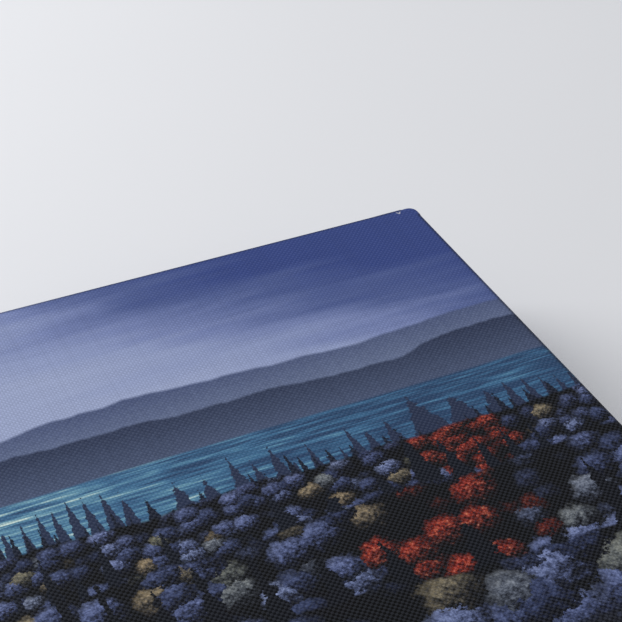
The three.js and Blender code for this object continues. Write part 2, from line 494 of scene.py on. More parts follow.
    def spruces(
        self,
        tree: bpy.types.NodeTree,
        cloth: bpy.types.NodeSocket,
        foot: float,
        tall: float,
        seed: float,
    ) -> bpy.types.NodeSocket:
        """Makes the mask of a row of spruces of mixed heights.

        Args:
            tree: The material's tree.
            cloth: The cloth's coordinates in millimetres.
            foot: The height at which they stand.
            tall: Height of the tallest, in millimetres.
            seed: Moves the row, so that no two match.

        Returns:
            The mask.
        """
        pitch = tall * 0.36
        sideways = add(tree, "ShaderNodeSeparateXYZ", {0: cloth}, output=0)
        height = add(tree, "ShaderNodeSeparateXYZ", {0: cloth}, output=1)
        count = add(
            tree, "ShaderNodeMath", {0: sideways, 1: 1 / pitch, 2: seed}, operation="MULTIPLY_ADD"
        )
        # The spacing wanders, so that some stand apart and others crowd.
        reach = add(tree, "ShaderNodeMath", {0: sideways, 1: 0.3 / tall}, operation="MULTIPLY")
        crowding = add(
            tree, "ShaderNodeTexNoise", {"W": reach, "Scale": 1.0, "Detail": 0.0}, noise_dimensions="1D"
        )
        count = add(tree, "ShaderNodeMath", {0: crowding, 1: 5.0, 2: count}, operation="MULTIPLY_ADD")
        cell = add(tree, "ShaderNodeMath", {0: count}, operation="FLOOR")
        chance = add(tree, "ShaderNodeTexWhiteNoise", {"W": cell}, noise_dimensions="1D")
        here = add(tree, "ShaderNodeMath", {0: count}, operation="FRACT")
        off = add(tree, "ShaderNodeMath", {0: chance, 1: -0.3, 2: here}, operation="MULTIPLY_ADD")
        off = add(tree, "ShaderNodeMath", {0: off, 1: 0.35}, operation="SUBTRACT")
        off = add(tree, "ShaderNodeMath", {0: off}, operation="ABSOLUTE")
        twigs = add(
            tree,
            "ShaderNodeMapping",
            {"Vector": cloth, "Location": (seed, 0.0, 0.0), "Scale": (1.5 / pitch, 7.0 / tall, 0.0)},
        )
        twigs = add(
            tree, "ShaderNodeTexNoise", {"Vector": twigs, "Scale": 1.6, "Detail": 5.0, "Roughness": 0.7}
        )
        off = add(tree, "ShaderNodeMath", {0: twigs, 1: 0.55, 2: off}, operation="MULTIPLY_ADD")
        off = add(tree, "ShaderNodeMath", {0: off, 1: 0.27}, operation="SUBTRACT")
        drift = add(tree, "ShaderNodeMath", {0: count, 1: 0.17}, operation="MULTIPLY")
        group = add(tree, "ShaderNodeTexNoise", {"W": drift, "Scale": 1.0}, noise_dimensions="1D")
        group = add(
            tree,
            "ShaderNodeMapRange",
            {"Value": group, "From Min": 0.38, "From Max": 0.6, "To Min": 0.2, "To Max": 0.7},
        )
        grown = add(tree, "ShaderNodeMath", {0: chance, 1: 0.42, 2: group}, operation="MULTIPLY_ADD")
        slope = add(tree, "ShaderNodeMath", {0: off, 1: -1.9, 2: grown}, operation="MULTIPLY_ADD")
        top = add(tree, "ShaderNodeMath", {0: slope, 1: tall, 2: foot}, operation="MULTIPLY_ADD")
        gap = add(tree, "ShaderNodeMath", {0: top, 1: height}, operation="SUBTRACT")
        return add(tree, "ShaderNodeMapRange", {"Value": gap, "From Min": -0.25, "From Max": 0.25})

    def meadow(self, tree: bpy.types.NodeTree, cloth: bpy.types.NodeSocket) -> bpy.types.NodeSocket:
        """Paints the dark meadow with its pale flecks.

        Args:
            tree: The material's tree.
            cloth: The cloth's coordinates in millimetres.

        Returns:
            The colour.
        """
        drawn = add(tree, "ShaderNodeMapping", {"Vector": cloth, "Scale": (1 / 0.9, 1 / 2.6, 1.0)})
        blades = add(
            tree, "ShaderNodeTexNoise", {"Vector": drawn, "Scale": 1.0, "Detail": 6.0, "Roughness": 0.72}
        )
        broad = add(tree, "ShaderNodeTexNoise", {"Vector": cloth, "Scale": 0.07, "Detail": 3.0})
        mixed = add(tree, "ShaderNodeMath", {0: broad, 1: 0.5, 2: blades}, operation="MULTIPLY_ADD")
        place = add(tree, "ShaderNodeMath", {0: mixed, 1: 0.66}, operation="MULTIPLY")
        return add(
            tree,
            "ShaderNodeValToRGB",
            {"Fac": place},
            ramp=[
                (0.36, "#111219"),
                (0.48, "#23252f"),
                (0.56, "#4a4d5a"),
                (0.62, "#7e8088"),
                (0.7, "#c3c2bc"),
            ],
        )

    def picture(self, tree: bpy.types.NodeTree, cloth: bpy.types.NodeSocket) -> bpy.types.NodeSocket:
        """Lays the tiers of the landscape over each other.

        Args:
            tree: The material's tree.
            cloth: The cloth's coordinates in millimetres.

        Returns:
            The picture's colour.
        """
        colour = self.sky(tree, cloth)
        far = self.ridge(tree, cloth, ("#8b96ae", "#5c6788"), Layer.FAR_RIDGE.value[0])
        near = self.ridge(tree, cloth, ("#6b7791", "#3f4963"), Layer.NEAR_RIDGE.value[0])
        tiers = [
            (Layer.FAR_RIDGE, far, 0.6, 3.1),
            (Layer.NEAR_RIDGE, near, 0.5, 11.7),
            (Layer.WATER, self.water(tree, cloth), 0.4, 21.3),
        ]
        for layer, painted, soft, seed in tiers:
            mask = self.below(tree, cloth, layer, soft, seed)
            colour = add(
                tree, "ShaderNodeMix", {0: mask, 6: colour, 7: painted}, output=2, data_type="RGBA"
            )
        rows = [(-4.0, 17.0, 5.3, "#3b4660"), (-8.0, 14.0, 9.8, "#232b3e")]
        for foot, tall, seed, tone in rows:
            mask = self.spruces(tree, cloth, foot, tall, seed)
            colour = add(
                tree, "ShaderNodeMix", {0: mask, 6: colour, 7: linear(tone)}, output=2, data_type="RGBA"
            )
        banks = [
            (Layer.FAR_BANK, 6.0, 31.9, (112.0, -10.0, 18.0), (-30.0, 30.0, 14.4, "#161d2b")),
            (Layer.MIDDLE_BANK, 10.0, 47.2, (96.0, -34.0, 27.0), (-58.0, 46.0, 23.9, "#0d121d")),
            (Layer.NEAR_BANK, 16.0, 63.5, (6.0, -66.0, 22.0), None),
        ]
        for layer, size, seed, autumn, row in banks:
            painted = self.crowns(tree, cloth, size, seed, autumn)
            mask = self.below(tree, cloth, layer, 0.5, seed)
            colour = add(
                tree, "ShaderNodeMix", {0: mask, 6: colour, 7: painted}, output=2, data_type="RGBA"
            )
            if row:
                foot, tall, turn, tone = row
                mask = self.spruces(tree, cloth, foot, tall, turn)
                colour = add(
                    tree, "ShaderNodeMix", {0: mask, 6: colour, 7: linear(tone)}, output=2, data_type="RGBA"
                )
        mask = self.below(tree, cloth, Layer.MEADOW, 1.6, 77.7)
        return add(
            tree,
            "ShaderNodeMix",
            {0: mask, 6: colour, 7: self.meadow(tree, cloth)},
            output=2,
            data_type="RGBA",
        )

    def painted_edge_shade(self, tree: bpy.types.NodeTree, cloth: bpy.types.NodeSocket) -> bpy.types.NodeSocket:
        """Makes the mask of the dark line along the front edge: painted shade where the cloth turns away from
        the light, with the ink a little darker where it is creased over.

        Args:
            tree: The material's tree.
            cloth: The cloth's coordinates in millimetres.

        Returns:
            The mask.
        """
        folded = add(tree, "ShaderNodeVectorMath", {0: cloth}, operation="ABSOLUTE")
        edge = (self.half_width - 1.5, self.half_height - 1.5, 0.0)
        beyond = add(tree, "ShaderNodeVectorMath", {0: folded, 1: edge}, operation="SUBTRACT")
        across = add(tree, "ShaderNodeSeparateXYZ", {0: beyond}, output=0)
        along = add(tree, "ShaderNodeSeparateXYZ", {0: beyond}, output=1)
        past = add(tree, "ShaderNodeMath", {0: across, 1: along}, operation="MAXIMUM")
        least = add(tree, "ShaderNodeMath", {0: across, 1: along}, operation="MINIMUM")
        rises = add(tree, "ShaderNodeMapRange", {"Value": past, "From Min": -0.5, "From Max": 0.3})
        fades = add(tree, "ShaderNodeMapRange", {"Value": past, "From Min": 3.4, "From Max": 1.7})
        apart = add(tree, "ShaderNodeMapRange", {"Value": least, "From Min": -3.4, "From Max": -4.2})
        line = add(tree, "ShaderNodeMath", {0: rises, 1: fades}, operation="MULTIPLY")
        line = add(tree, "ShaderNodeMath", {0: line, 1: apart}, operation="MULTIPLY")
        return add(tree, "ShaderNodeMath", {0: line, 1: 0.55}, operation="MULTIPLY")

    def worn(self, tree: bpy.types.NodeTree, cloth: bpy.types.NodeSocket) -> bpy.types.NodeSocket:
        """Makes the mask of the places where ink is gone: a nick at one fold and specks on the edges.

        Args:
            tree: The material's tree.
            cloth: The cloth's coordinates in millimetres.

        Returns:
            The mask.
        """
        folded = add(tree, "ShaderNodeVectorMath", {0: cloth}, operation="ABSOLUTE")
        rough = add(tree, "ShaderNodeTexNoise", {"Vector": cloth, "Scale": 1.3, "Detail": 3.0})
        # The nick is a small tick of two strokes, where the fold's end has rubbed.
        local = add(
            tree, "ShaderNodeVectorMath", {0: cloth, 1: self.nick}, operation="SUBTRACT"
        )
        sideways = add(tree, "ShaderNodeSeparateXYZ", {0: local}, output=0)
        upward = add(tree, "ShaderNodeSeparateXYZ", {0: local}, output=1)
        arm = add(tree, "ShaderNodeMath", {0: sideways}, operation="ABSOLUTE")
        arm = add(tree, "ShaderNodeMath", {0: upward, 1: -0.8, 2: arm}, operation="MULTIPLY_ADD")
        arm = add(tree, "ShaderNodeMath", {0: arm}, operation="ABSOLUTE")
        arm = add(tree, "ShaderNodeMath", {0: rough, 1: 0.6, 2: arm}, operation="MULTIPLY_ADD")
        stroke = add(tree, "ShaderNodeMapRange", {"Value": arm, "From Min": 0.72, "From Max": 0.4})
        reach = add(tree, "ShaderNodeVectorMath", {0: local}, output="Value", operation="LENGTH")
        within = add(tree, "ShaderNodeMapRange", {"Value": reach, "From Min": 1.35, "From Max": 0.9})
        nick = add(tree, "ShaderNodeMath", {0: stroke, 1: within}, operation="MULTIPLY")
        nick = add(tree, "ShaderNodeMath", {0: nick, 1: 0.45}, operation="MULTIPLY")
        beyond = add(
            tree,
            "ShaderNodeVectorMath",
            {0: folded, 1: self.rubbed_from},
            operation="SUBTRACT",
        )
        across = add(tree, "ShaderNodeSeparateXYZ", {0: beyond}, output=0)
        along = add(tree, "ShaderNodeSeparateXYZ", {0: beyond}, output=1)
        near_x = add(tree, "ShaderNodeMath", {0: across}, operation="ABSOLUTE")
        near_y = add(tree, "ShaderNodeMath", {0: along}, operation="ABSOLUTE")
        near = add(tree, "ShaderNodeMath", {0: near_x, 1: near_y}, operation="MINIMUM")
        specks = add(tree, "ShaderNodeTexNoise", {"Vector": cloth, "Scale": 2.1, "Detail": 4.0})
        rubbed = add(tree, "ShaderNodeMath", {0: near, 1: -0.14, 2: specks}, operation="MULTIPLY_ADD")
        rubbed = add(
            tree,
            "ShaderNodeMapRange",
            {"Value": rubbed, "From Min": 0.63, "From Max": 0.7, "To Max": 0.45},
        )
        return add(tree, "ShaderNodeMath", {0: nick, 1: rubbed}, operation="MAXIMUM")

    def build(self) -> bpy.types.Material:
        """Builds the material.

        Returns:
            The material.
        """
        material, tree, shader = new_material("printed_cotton_canvas")
        woven = self.weave.build(tree)
        cloth = woven["cloth"]
        ink = self.picture(tree, cloth)
        # Painted shade: the hollows between the threads are darker than the raised threads.
        shade = add(
            tree,
            "ShaderNodeMapRange",
            {"Value": woven["height"], "From Min": 0.1, "From Max": 1.0, "To Min": 0.74, "To Max": 1.0},
        )
        shade = add(tree, "ShaderNodeMath", {0: woven["slubs"], 1: 0.13, 2: shade}, operation="MULTIPLY_ADD")
        # Painted light: the threads that run up stand a little proud and are made lighter, as if they take the
        # light before the others do.
        shade = add(tree, "ShaderNodeMath", {0: woven["over"], 1: 0.1, 2: shade}, operation="MULTIPLY_ADD")
        shade = add(tree, "ShaderNodeMath", {0: shade, 1: 0.11}, operation="SUBTRACT")
        ink = add(
            tree,
            "ShaderNodeMix",
            {0: 1.0, 6: ink, 7: shade},
            output=2,
            data_type="RGBA",
            blend_type="MULTIPLY",
        )
        # Photographic ink on satin primer has deep shadows.
        ink = add(tree, "ShaderNodeGamma", {"Color": ink, "Gamma": self.ink_gamma})
        # A dark line of painted shade along the front edge, where the cloth turns away from the light.
        turned = self.painted_edge_shade(tree, cloth)
        ink = add(
            tree,
            "ShaderNodeMix",
            {0: turned, 6: ink, 7: linear("#0b0f1c")},
            output=2,
            data_type="RGBA",
        )
        thin = add(tree, "ShaderNodeMath", {0: woven["over"], 1: 0.035}, operation="MULTIPLY")
        ink = add(
            tree, "ShaderNodeMix", {0: thin, 6: ink, 7: linear("#aeb6cc")}, output=2, data_type="RGBA"
        )
        # The bare primer takes the same painted shade and light of the weave.
        primer = add(
            tree,
            "ShaderNodeMix",
            {0: shade, 6: linear("#c9c8c2"), 7: linear("#f0efea")},
            output=2,
            data_type="RGBA",
        )
        # The print ends a little way onto the back.
        last_x, last_y = self.half_width + self.printed_turn, self.half_height + self.printed_turn
        folded = add(tree, "ShaderNodeVectorMath", {0: cloth}, operation="ABSOLUTE")
        beyond = add(
            tree,
            "ShaderNodeVectorMath",
            {0: folded, 1: (last_x, last_y, 0.0)},
            operation="SUBTRACT",
        )
        across = add(tree, "ShaderNodeSeparateXYZ", {0: beyond}, output=0)
        along = add(tree, "ShaderNodeSeparateXYZ", {0: beyond}, output=1)
        furthest = add(tree, "ShaderNodeMath", {0: across, 1: along}, operation="MAXIMUM")
        bare = add(tree, "ShaderNodeMapRange", {"Value": furthest, "From Min": -0.15, "From Max": 0.15})
        bare = add(
            tree, "ShaderNodeMath", {0: bare, 1: self.worn(tree, cloth)}, operation="MAXIMUM"
        )
        colour = add(tree, "ShaderNodeMix", {0: bare, 6: ink, 7: primer}, output=2, data_type="RGBA")
        rough = add(
            tree,
            "ShaderNodeMapRange",
            {"Value": woven["height"], "From Min": 0.2, "From Max": 1.0, "To Min": 0.75, "To Max": 0.55},
        )
        bump = add(
            tree,
            "ShaderNodeBump",
            {"Height": woven["height"], "Strength": 1.0, "Distance": self.weave.relief * MM},
        )
        tree.links.new(colour, shader.inputs["Base Color"])
        tree.links.new(rough, shader.inputs["Roughness"])
        tree.links.new(bump, shader.inputs["Normal"])
        shader.inputs["Specular IOR Level"].default_value = self.gloss
        return material


@dataclass(frozen=True)
class RawCanvas:
    """The unprimed back of cotton canvas: warm off-white, matt and a little hairy, with the same threads."""

    weave: Weave = Weave(relief=0.16)

    def build(self) -> bpy.types.Material:
        """Builds the material.

        Returns:
            The material.
        """
        material, tree, shader = new_material("raw_cotton_canvas")
        woven = self.weave.build(tree)
        fleck = add(
            tree,
            "ShaderNodeTexNoise",
            {"Vector": woven["cloth"], "Scale": 0.9, "Detail": 5.0, "Roughness": 0.7},
        )
        yarn = add(
            tree,
            "ShaderNodeValToRGB",
            {"Fac": fleck},
            ramp=[(0.3, "#b7a98c"), (0.46, "#d3c8ae"), (0.6, "#ddd4bf"), (0.75, "#e9e2d0")],
        )
        # Painted shade: the hollows between the threads are darker.
        depth = add(
            tree,
            "ShaderNodeMapRange",
            {"Value": woven["height"], "From Min": 0.1, "From Max": 1.0, "To Min": 0.5, "To Max": 1.05},
        )
        colour = add(
            tree,
            "ShaderNodeMix",
            {0: 1.0, 6: yarn, 7: depth},
            output=2,
            data_type="RGBA",
            blend_type="MULTIPLY",
        )
        bump = add(
            tree,
            "ShaderNodeBump",
            {"Height": woven["height"], "Strength": 1.0, "Distance": self.weave.relief * MM},
        )
        tree.links.new(colour, shader.inputs["Base Color"])
        tree.links.new(bump, shader.inputs["Normal"])
        shader.inputs["Roughness"].default_value = 0.9
        shader.inputs["Sheen Weight"].default_value = 0.3
        shader.inputs["Sheen Roughness"].default_value = 0.6
        return material


class GrainAxis(Enum):
    """Which way the grain of a piece of wood runs, as its turn about Z."""

    ALONG_X = 0.0
    ALONG_Y = math.pi / 2


@dataclass(frozen=True)
class PlanedWood:
    """Planed softwood: pale early wood and darker, harder late wood in bands about 2.5 mm apart.

    Planing leaves it smooth but not polished, so it has a soft sheen along the grain and fine dark pores.
    """

    name: str
    axis: GrainAxis
    heart: Point
    pale: str = "#e3c99a"
    dark: str = "#bf8f57"
    ring: float = 2.5
    roughness: float = 0.62

    def build(self) -> bpy.types.Material:
        """Builds the material.

        Returns:
            The material.
        """
        material, tree, shader = new_material(self.name)
        here = add(tree, "ShaderNodeTexCoord", output="Object")
        place = add(
            tree,
            "ShaderNodeMapping",
            {
                "Vector": here,
                "Location": tuple(v * MM for v in self.heart),
                "Rotation": (0.0, 0.0, -self.axis.value),
            },
        )
        slow = add(
            tree,
            "ShaderNodeMapping",
            {"Vector": place, "Scale": (9.0, 45.0, 45.0)},
        )
        sway = add(
            tree, "ShaderNodeTexNoise", {"Vector": slow, "Scale": 1.0, "Detail": 3.0}, output="Color"
        )
        sway = add(tree, "ShaderNodeVectorMath", {0: sway, 3: 0.012}, operation="SCALE")
        grown = add(tree, "ShaderNodeVectorMath", {0: place, 1: sway}, operation="ADD")
        rings = add(
            tree,
            "ShaderNodeTexWave",
            {"Vector": grown, "Scale": 0.314 / (self.ring * MM), "Distortion": 0.6, "Detail": 2.0},
            output="Fac",
            wave_type="RINGS",
            rings_direction="X",
            wave_profile="SAW",
        )
        fine = add(tree, "ShaderNodeMapping", {"Vector": place, "Scale": (60.0, 2600.0, 2600.0)})
        fibres = add(
            tree, "ShaderNodeTexNoise", {"Vector": fine, "Scale": 1.0, "Detail": 4.0, "Roughness": 0.6}
        )
        pores = add(tree, "ShaderNodeMapping", {"Vector": place, "Scale": (220.0, 1700.0, 1700.0)})
        pores = add(tree, "ShaderNodeTexNoise", {"Vector": pores, "Scale": 1.0, "Detail": 2.0})
        pores = add(tree, "ShaderNodeMapRange", {"Value": pores, "From Min": 0.66, "From Max": 0.74})
        band = add(tree, "ShaderNodeMath", {0: rings, 1: 2.2}, operation="POWER")
        mixed = add(tree, "ShaderNodeMath", {0: fibres, 1: 0.5, 2: band}, operation="MULTIPLY_ADD")
        mixed = add(tree, "ShaderNodeMath", {0: mixed, 1: 0.2}, operation="SUBTRACT")
        wood = add(
            tree,
            "ShaderNodeMix",
            {0: mixed, 6: linear(self.pale), 7: linear(self.dark)},
            output=2,
            data_type="RGBA",
        )
        wood = add(
            tree, "ShaderNodeMix", {0: pores, 6: wood, 7: linear("#7d5a36")}, output=2, data_type="RGBA"
        )
        patch = add(tree, "ShaderNodeTexNoise", {"Vector": place, "Scale": 14.0, "Detail": 2.0})
        toned = add(
            tree,
            "ShaderNodeMapRange",
            {"Value": patch, "From Min": 0.3, "From Max": 0.7, "To Min": 0.92, "To Max": 1.06},
        )
        wood = add(
            tree, "ShaderNodeHueSaturation", {"Color": wood, "Value": toned, "Saturation": 0.95}
        )
        rough = add(
            tree,
            "ShaderNodeMapRange",
            {"Value": band, "To Min": self.roughness + 0.08, "To Max": self.roughness - 0.08},
        )
        bump = add(
            tree,
            "ShaderNodeBump",
            {"Height": mixed, "Strength": 0.5, "Distance": 0.12 * MM},
        )
        tree.links.new(wood, shader.inputs["Base Color"])
        tree.links.new(rough, shader.inputs["Roughness"])
        tree.links.new(bump, shader.inputs["Normal"])
        shader.inputs["Specular IOR Level"].default_value = 0.4
        return material


@dataclass(frozen=True)
class GalvanisedWire:
    """Flattened, zinc-coated staple wire: a grey metal with a soft, cloudy shine and fine draw marks."""

    def build(self) -> bpy.types.Material:
        """Builds the material.

        Returns:
            The material.
        """
        material, tree, shader = new_material("galvanised_wire")
        here = add(tree, "ShaderNodeTexCoord", output="Object")
        cloud = add(tree, "ShaderNodeTexNoise", {"Vector": here, "Scale": 900.0, "Detail": 4.0})
        colour = add(
            tree,
            "ShaderNodeValToRGB",
            {"Fac": cloud},
            ramp=[(0.3, "#8f9295"), (0.55, "#b4b7ba"), (0.75, "#c9cbcd")],
        )
        rough = add(tree, "ShaderNodeMapRange", {"Value": cloud, "To Min": 0.28, "To Max": 0.5})
        bump = add(tree, "ShaderNodeBump", {"Height": cloud, "Strength": 0.3, "Distance": 0.02 * MM})
        tree.links.new(colour, shader.inputs["Base Color"])
        tree.links.new(rough, shader.inputs["Roughness"])
        tree.links.new(bump, shader.inputs["Normal"])
        shader.inputs["Metallic"].default_value = 1.0
        return material


@dataclass
class CanvasSkin:
    """The stretched canvas: one sheet round the frame, with its folded corners and turned-in strips."""

    width: float = 305.0
    height: float = 203.0
    depth: float = 38.0
    cloth: float = 0.5
    edge_round: float = 1.5
    plan_round: float = 3.2
    turn_in: float = 18.0
    fold_bulge: float = 0.8
    fold_setback: float = 5.1
    fold_reach: float = 30.0
    side_step_at: float = 95.4
    side_step: float = 0.2
    strip_z: float = 0.68
    staple_reach: float = 9.0
    crease_angle: float = 48.0
    staples: list[tuple[float, float, float]] = field(default_factory=list)

    @property
    def half_x(self) -> float:
        """Half of the width, over the cloth."""
        return self.width / 2

    @property
    def half_y(self) -> float:
        """Half of the height, over the cloth and under the folds."""
        return self.height / 2 - self.fold_bulge

    @staticmethod
    def stations(
        half: float, fine_from: float, fine: float, coarse: float, more: list[float]
    ) -> list[float]:
        """Places the grid lines along one way of the cloth, close together near the corners.

        Args:
            half: The last line.
            fine_from: Where the close spacing starts.
            fine: The close spacing.
            coarse: The spacing in the middle.
            more: Lines that must be there.

        Returns:
            The lines from end to end, the same on both sides.
        """
        count = max(1, round(fine_from / coarse))
        places = {fine_from * i / count for i in range(1, count + 1)}
        count = max(1, round((half - fine_from) / fine))
        places |= {fine_from + (half - fine_from) * i / count for i in range(1, count + 1)}
        kept = [p for p in places if all(abs(p - m) > fine * 0.45 for m in more) or p == half]
        right = sorted(set(kept) | set(more))
        return [-p for p in reversed(right)] + [0.0] + right

    def fold_height(self, x: float, z: float) -> float:
        """How far the cloth of a long edge stands out at a folded corner.

        Args:
            x: Place along the edge, from the middle.
            z: Height.

        Returns:
            The distance outwards.
        """
        a = abs(x)
        outer = self.half_x - self.fold_setback
        low, high = self.edge_round + 1.0, self.depth - self.edge_round
        t = min(1.0, max(0.0, (high - z) / (high - low)))
        inner = outer - self.fold_setback - t * (self.fold_reach - self.fold_setback)
        taper = 0.3 + 0.7 * ease(self.depth - z, 0.5, 9.0)
        slack = 0.12 * math.sin(a * 0.5 + z * 0.21) * ease(self.depth - z, 4.0, 14.0)
        soft = 5.0 * (1 - ease(self.depth - z, 0.5, 9.0))
        on = ease(a, inner - 0.5 - soft, inner + 0.45) * (1 - ease(a, outer - 0.12, outer + 0.2))
        groove = ease(a, outer - 0.02, outer + 0.2) * (1 - ease(a, outer + 0.3, outer + 1.0))
        return on * (self.fold_bulge + slack - 0.1) * taper - 0.16 * groove

    def edge_slack(self, run: float, z: float) -> float:
        """How far the cloth of a side is drawn in or puffed out between its staples.

        Args:
            run: Place along the side.
            z: Height.

        Returns:
            The distance outwards.
        """
        lower = 1 - ease(z, 4.0, 24.0)
        puffed = 0.1 * math.cos(2 * math.pi * run / 40.0 + math.pi) * lower
        uneven = 0.1 * noise.noise(Vector((run / 31.0, z / 23.0, 4.2)))
        return (puffed + uneven) * ease(self.depth - z, 0.5, 5.0) * ease(z, 0.5, 3.0)

    def face_z(self, x: float, y: float) -> float:
        """The height of the picture face, which is very slightly uneven where it spans the frame."""
        inside = ease(self.half_x - abs(x), 3.0, 26.0) * ease(self.half_y - abs(y), 3.0, 26.0)
        wave = noise.noise(Vector((x / 70.0, y / 60.0, 1.3))) + 0.5 * noise.noise(
            Vector((x / 24.0, y / 26.0, 7.9))
        )
        return self.depth - 0.32 * inside + 0.14 * wave * inside

    def pad(self, x: float, y: float) -> float:
        """How fully a place on the back lies on a folded corner, from 0 to 1."""
        across = self.half_x - self.edge_round - abs(x)
        along = self.half_y - self.edge_round - abs(y)
        reach = self.turn_in
        cut = reach * 2 - self.edge_round - self.fold_setback - (across + along)
        return (
            (1 - ease(across, reach - 0.3, reach + 0.05))
            * (1 - ease(along, reach - 0.3, reach + 0.05))
            * ease(cut, -0.3, 0.6)
        )

    def back_z(self, x: float, y: float) -> float:
        """The height of the turned-in cloth on the back.

        Args:
            x: Place across.
            y: Place along.

        Returns:
            The height of its outer side.
        """
        on_pad = self.pad(x, y)
        across = self.half_x - abs(x)
        along = self.half_y - abs(y)
        layer = 0.3 * ease(across - along, -0.4, 0.4)
        crease = 0.4 * math.exp(-(((across - along) / 0.8) ** 2))
        soft = 0.07 * noise.noise(Vector((x / 6.0, y / 6.0, 2.0)))
        z = (self.strip_z + soft) * (1 - on_pad) + (0.03 + layer + crease + max(0.0, soft)) * on_pad
        for sx, sy, turn in self.staples:
            dx, dy = x - sx, y - sy
            if abs(dx) > self.staple_reach or abs(dy) > self.staple_reach:
                continue
            a = abs(dx * math.cos(turn) + dy * math.sin(turn))
            b = abs(-dx * math.sin(turn) + dy * math.cos(turn))
            away = math.hypot(max(0.0, a - 5.6), max(0.0, b - 0.7))
            z = max(z, (self.strip_z + 0.03) * (1 - ease(away, 0.3, 1.9)))
        return z

    @staticmethod
    def perimeter(xs: list[float], ys: list[float]) -> list[dict]:
        """Lists the places round the edge, counterclockwise from above.

        Args:
            xs: Grid lines across.
            ys: Grid lines along.

        Returns:
            For each place its grid corner, its direction outwards and that direction's angle.
        """
        nx, ny = len(xs), len(ys)
        found: list[dict] = []

        def put(ix: int, iy: int, angle: float) -> None:
            """Adds one place."""
            found.append({"grid": (ix, iy), "out": (math.cos(angle), math.sin(angle)), "angle": angle})

        def turn(ix: int, iy: int, start: float) -> None:
            """Adds the places round one upright corner."""
            for step in range(1, 6):
                put(ix, iy, start + step * math.pi / 12)

        for ix in range(nx):
            put(ix, 0, -math.pi / 2)
        turn(nx - 1, 0, -math.pi / 2)
        for iy in range(ny):
            put(nx - 1, iy, 0.0)
        turn(nx - 1, ny - 1, 0.0)
        for ix in reversed(range(nx)):
            put(ix, ny - 1, math.pi / 2)
        turn(0, ny - 1, math.pi / 2)
        for iy in reversed(range(ny)):
            put(0, iy, math.pi)
        turn(0, 0, math.pi)
        return found

    def profile(self) -> list[tuple[float, float, float]]:
        """Lists the rings from the face over the edge and down to the back.

        Returns:
            How far out each ring lies, its height, and its run along the cloth.
        """
        e = self.edge_round
        rings = [(e * math.sin(a), self.depth - e * (1 - math.cos(a))) for a in self.arc_steps()]
        top, low = self.depth - e, self.strip_z + e
        count = 26
        rings += [(e, top + (low - top) * i / count) for i in range(1, count)]
        rings += [(e * math.cos(a), self.strip_z + e * (1 - math.sin(a))) for a in self.arc_steps()]
        run, placed = 0.0, []
        for i, (out, z) in enumerate(rings):
            if i:
                run += math.hypot(out - rings[i - 1][0], z - rings[i - 1][1])
            placed.append((out, z, run))
        return placed

    @staticmethod
    def arc_steps() -> list[float]:
        """The angles of a rounded edge."""
        return [i * math.pi / 10 for i in range(6)]

    def build(self, printed: bpy.types.Material, raw: bpy.types.Material) -> bpy.types.Object:
        """Builds the canvas as one sheet of cloth with a thickness.

        Args:
            printed: The outer finish.
            raw: The finish of the inner side and of the cut edges.

        Returns:
            The finished piece.
        """
        r = self.plan_round - self.edge_round
        gx, gy = self.half_x - self.plan_round, self.half_y - self.plan_round
        fold = self.half_x - self.fold_setback
        window_x, window_y = self.half_x - self.turn_in, self.half_y - self.turn_in
        pad_x, pad_y = window_x - self.edge_round, window_y - self.edge_round
        at_fold = [fold + step for step in (-0.3, -0.1, 0.06, 0.2, 0.5, 1.0)]
        xs = self.stations(gx, 118.0, 0.75, 6.0, [pad_x, pad_x + 0.35, window_x, *at_fold])
        ys = self.stations(gy, 78.0, 0.9, 6.0, [pad_y, pad_y + 0.35, window_y])
        nx, ny = len(xs), len(ys)
        around = self.perimeter(xs, ys)
        rings = self.profile()
        total = rings[-1][2]
        verts: list[Point] = []
        faces: list[tuple[int, ...]] = []
        charts: list[tuple[str, float, float]] = []
        marks: list[tuple] = []

        def vertex(x: float, y: float, z: float, mark: tuple) -> int:
            """Adds a vertex and what is needed for its place on the flat cloth."""
            verts.append((x * MM, y * MM, z * MM))
            marks.append(mark)
            return len(verts) - 1

        front = [[vertex(x, y, self.face_z(x, y), ("front", x, y)) for y in ys] for x in xs]
        sleeve: list[list[int]] = []
        for out, z, run in rings:
            row = []
            for place in around:
                ix, iy = place["grid"]
                bx, by = xs[ix], ys[iy]
                nx_, ny_ = place["out"]
                grow = r + out
                level = z
                if abs(ny_) > 0.999:
                    grow += self.fold_height(bx, z) * (out / self.edge_round)
                    grow += self.edge_slack(bx, z)
                elif abs(nx_) > 0.999:
                    # The sides take another stretch of the noise than the long edges do.
                    grow += self.edge_slack(by + 400.0, z)
                    grow -= self.side_step * ease(self.side_step_at - abs(by), -0.45, 0.45)
                px, py = bx + nx_ * grow, by + ny_ * grow
                lower = 1 - ease(z, 1.5, 9.0)
                if lower > 0:
                    under = self.back_z(bx + nx_ * r * 0.9, by + ny_ * r * 0.9)
                    level += lower * (under - self.strip_z)
                row.append(vertex(px, py, level, ("sleeve", run, bx, by, place["angle"])))
            sleeve.append(row)
        back: list[list[int | None]] = []
        for x in xs:
            line: list[int | None] = []
            for y in ys:
                if abs(x) < window_x - 1e-6 and abs(y) < window_y - 1e-6:
                    line.append(None)
                    continue
                px, py = x, y
                # The cut edge of the strip was cut by hand.
                if abs(abs(x) - window_x) < 1e-6 and abs(y) < window_y + 1e-6:
                    px += 0.5 * noise.noise(Vector((y / 17.0, x, 3.0)))
                    px += 0.2 * noise.noise(Vector((y / 4.0, x, 9.0)))
                if abs(abs(y) - window_y) < 1e-6 and abs(x) < window_x + 1e-6:
                    py += 0.5 * noise.noise(Vector((x / 19.0, y, 5.0)))
                    py += 0.2 * noise.noise(Vector((x / 4.0, y, 8.0)))
                line.append(vertex(px, py, self.back_z(x, y), ("back", px, py)))
            back.append(line)

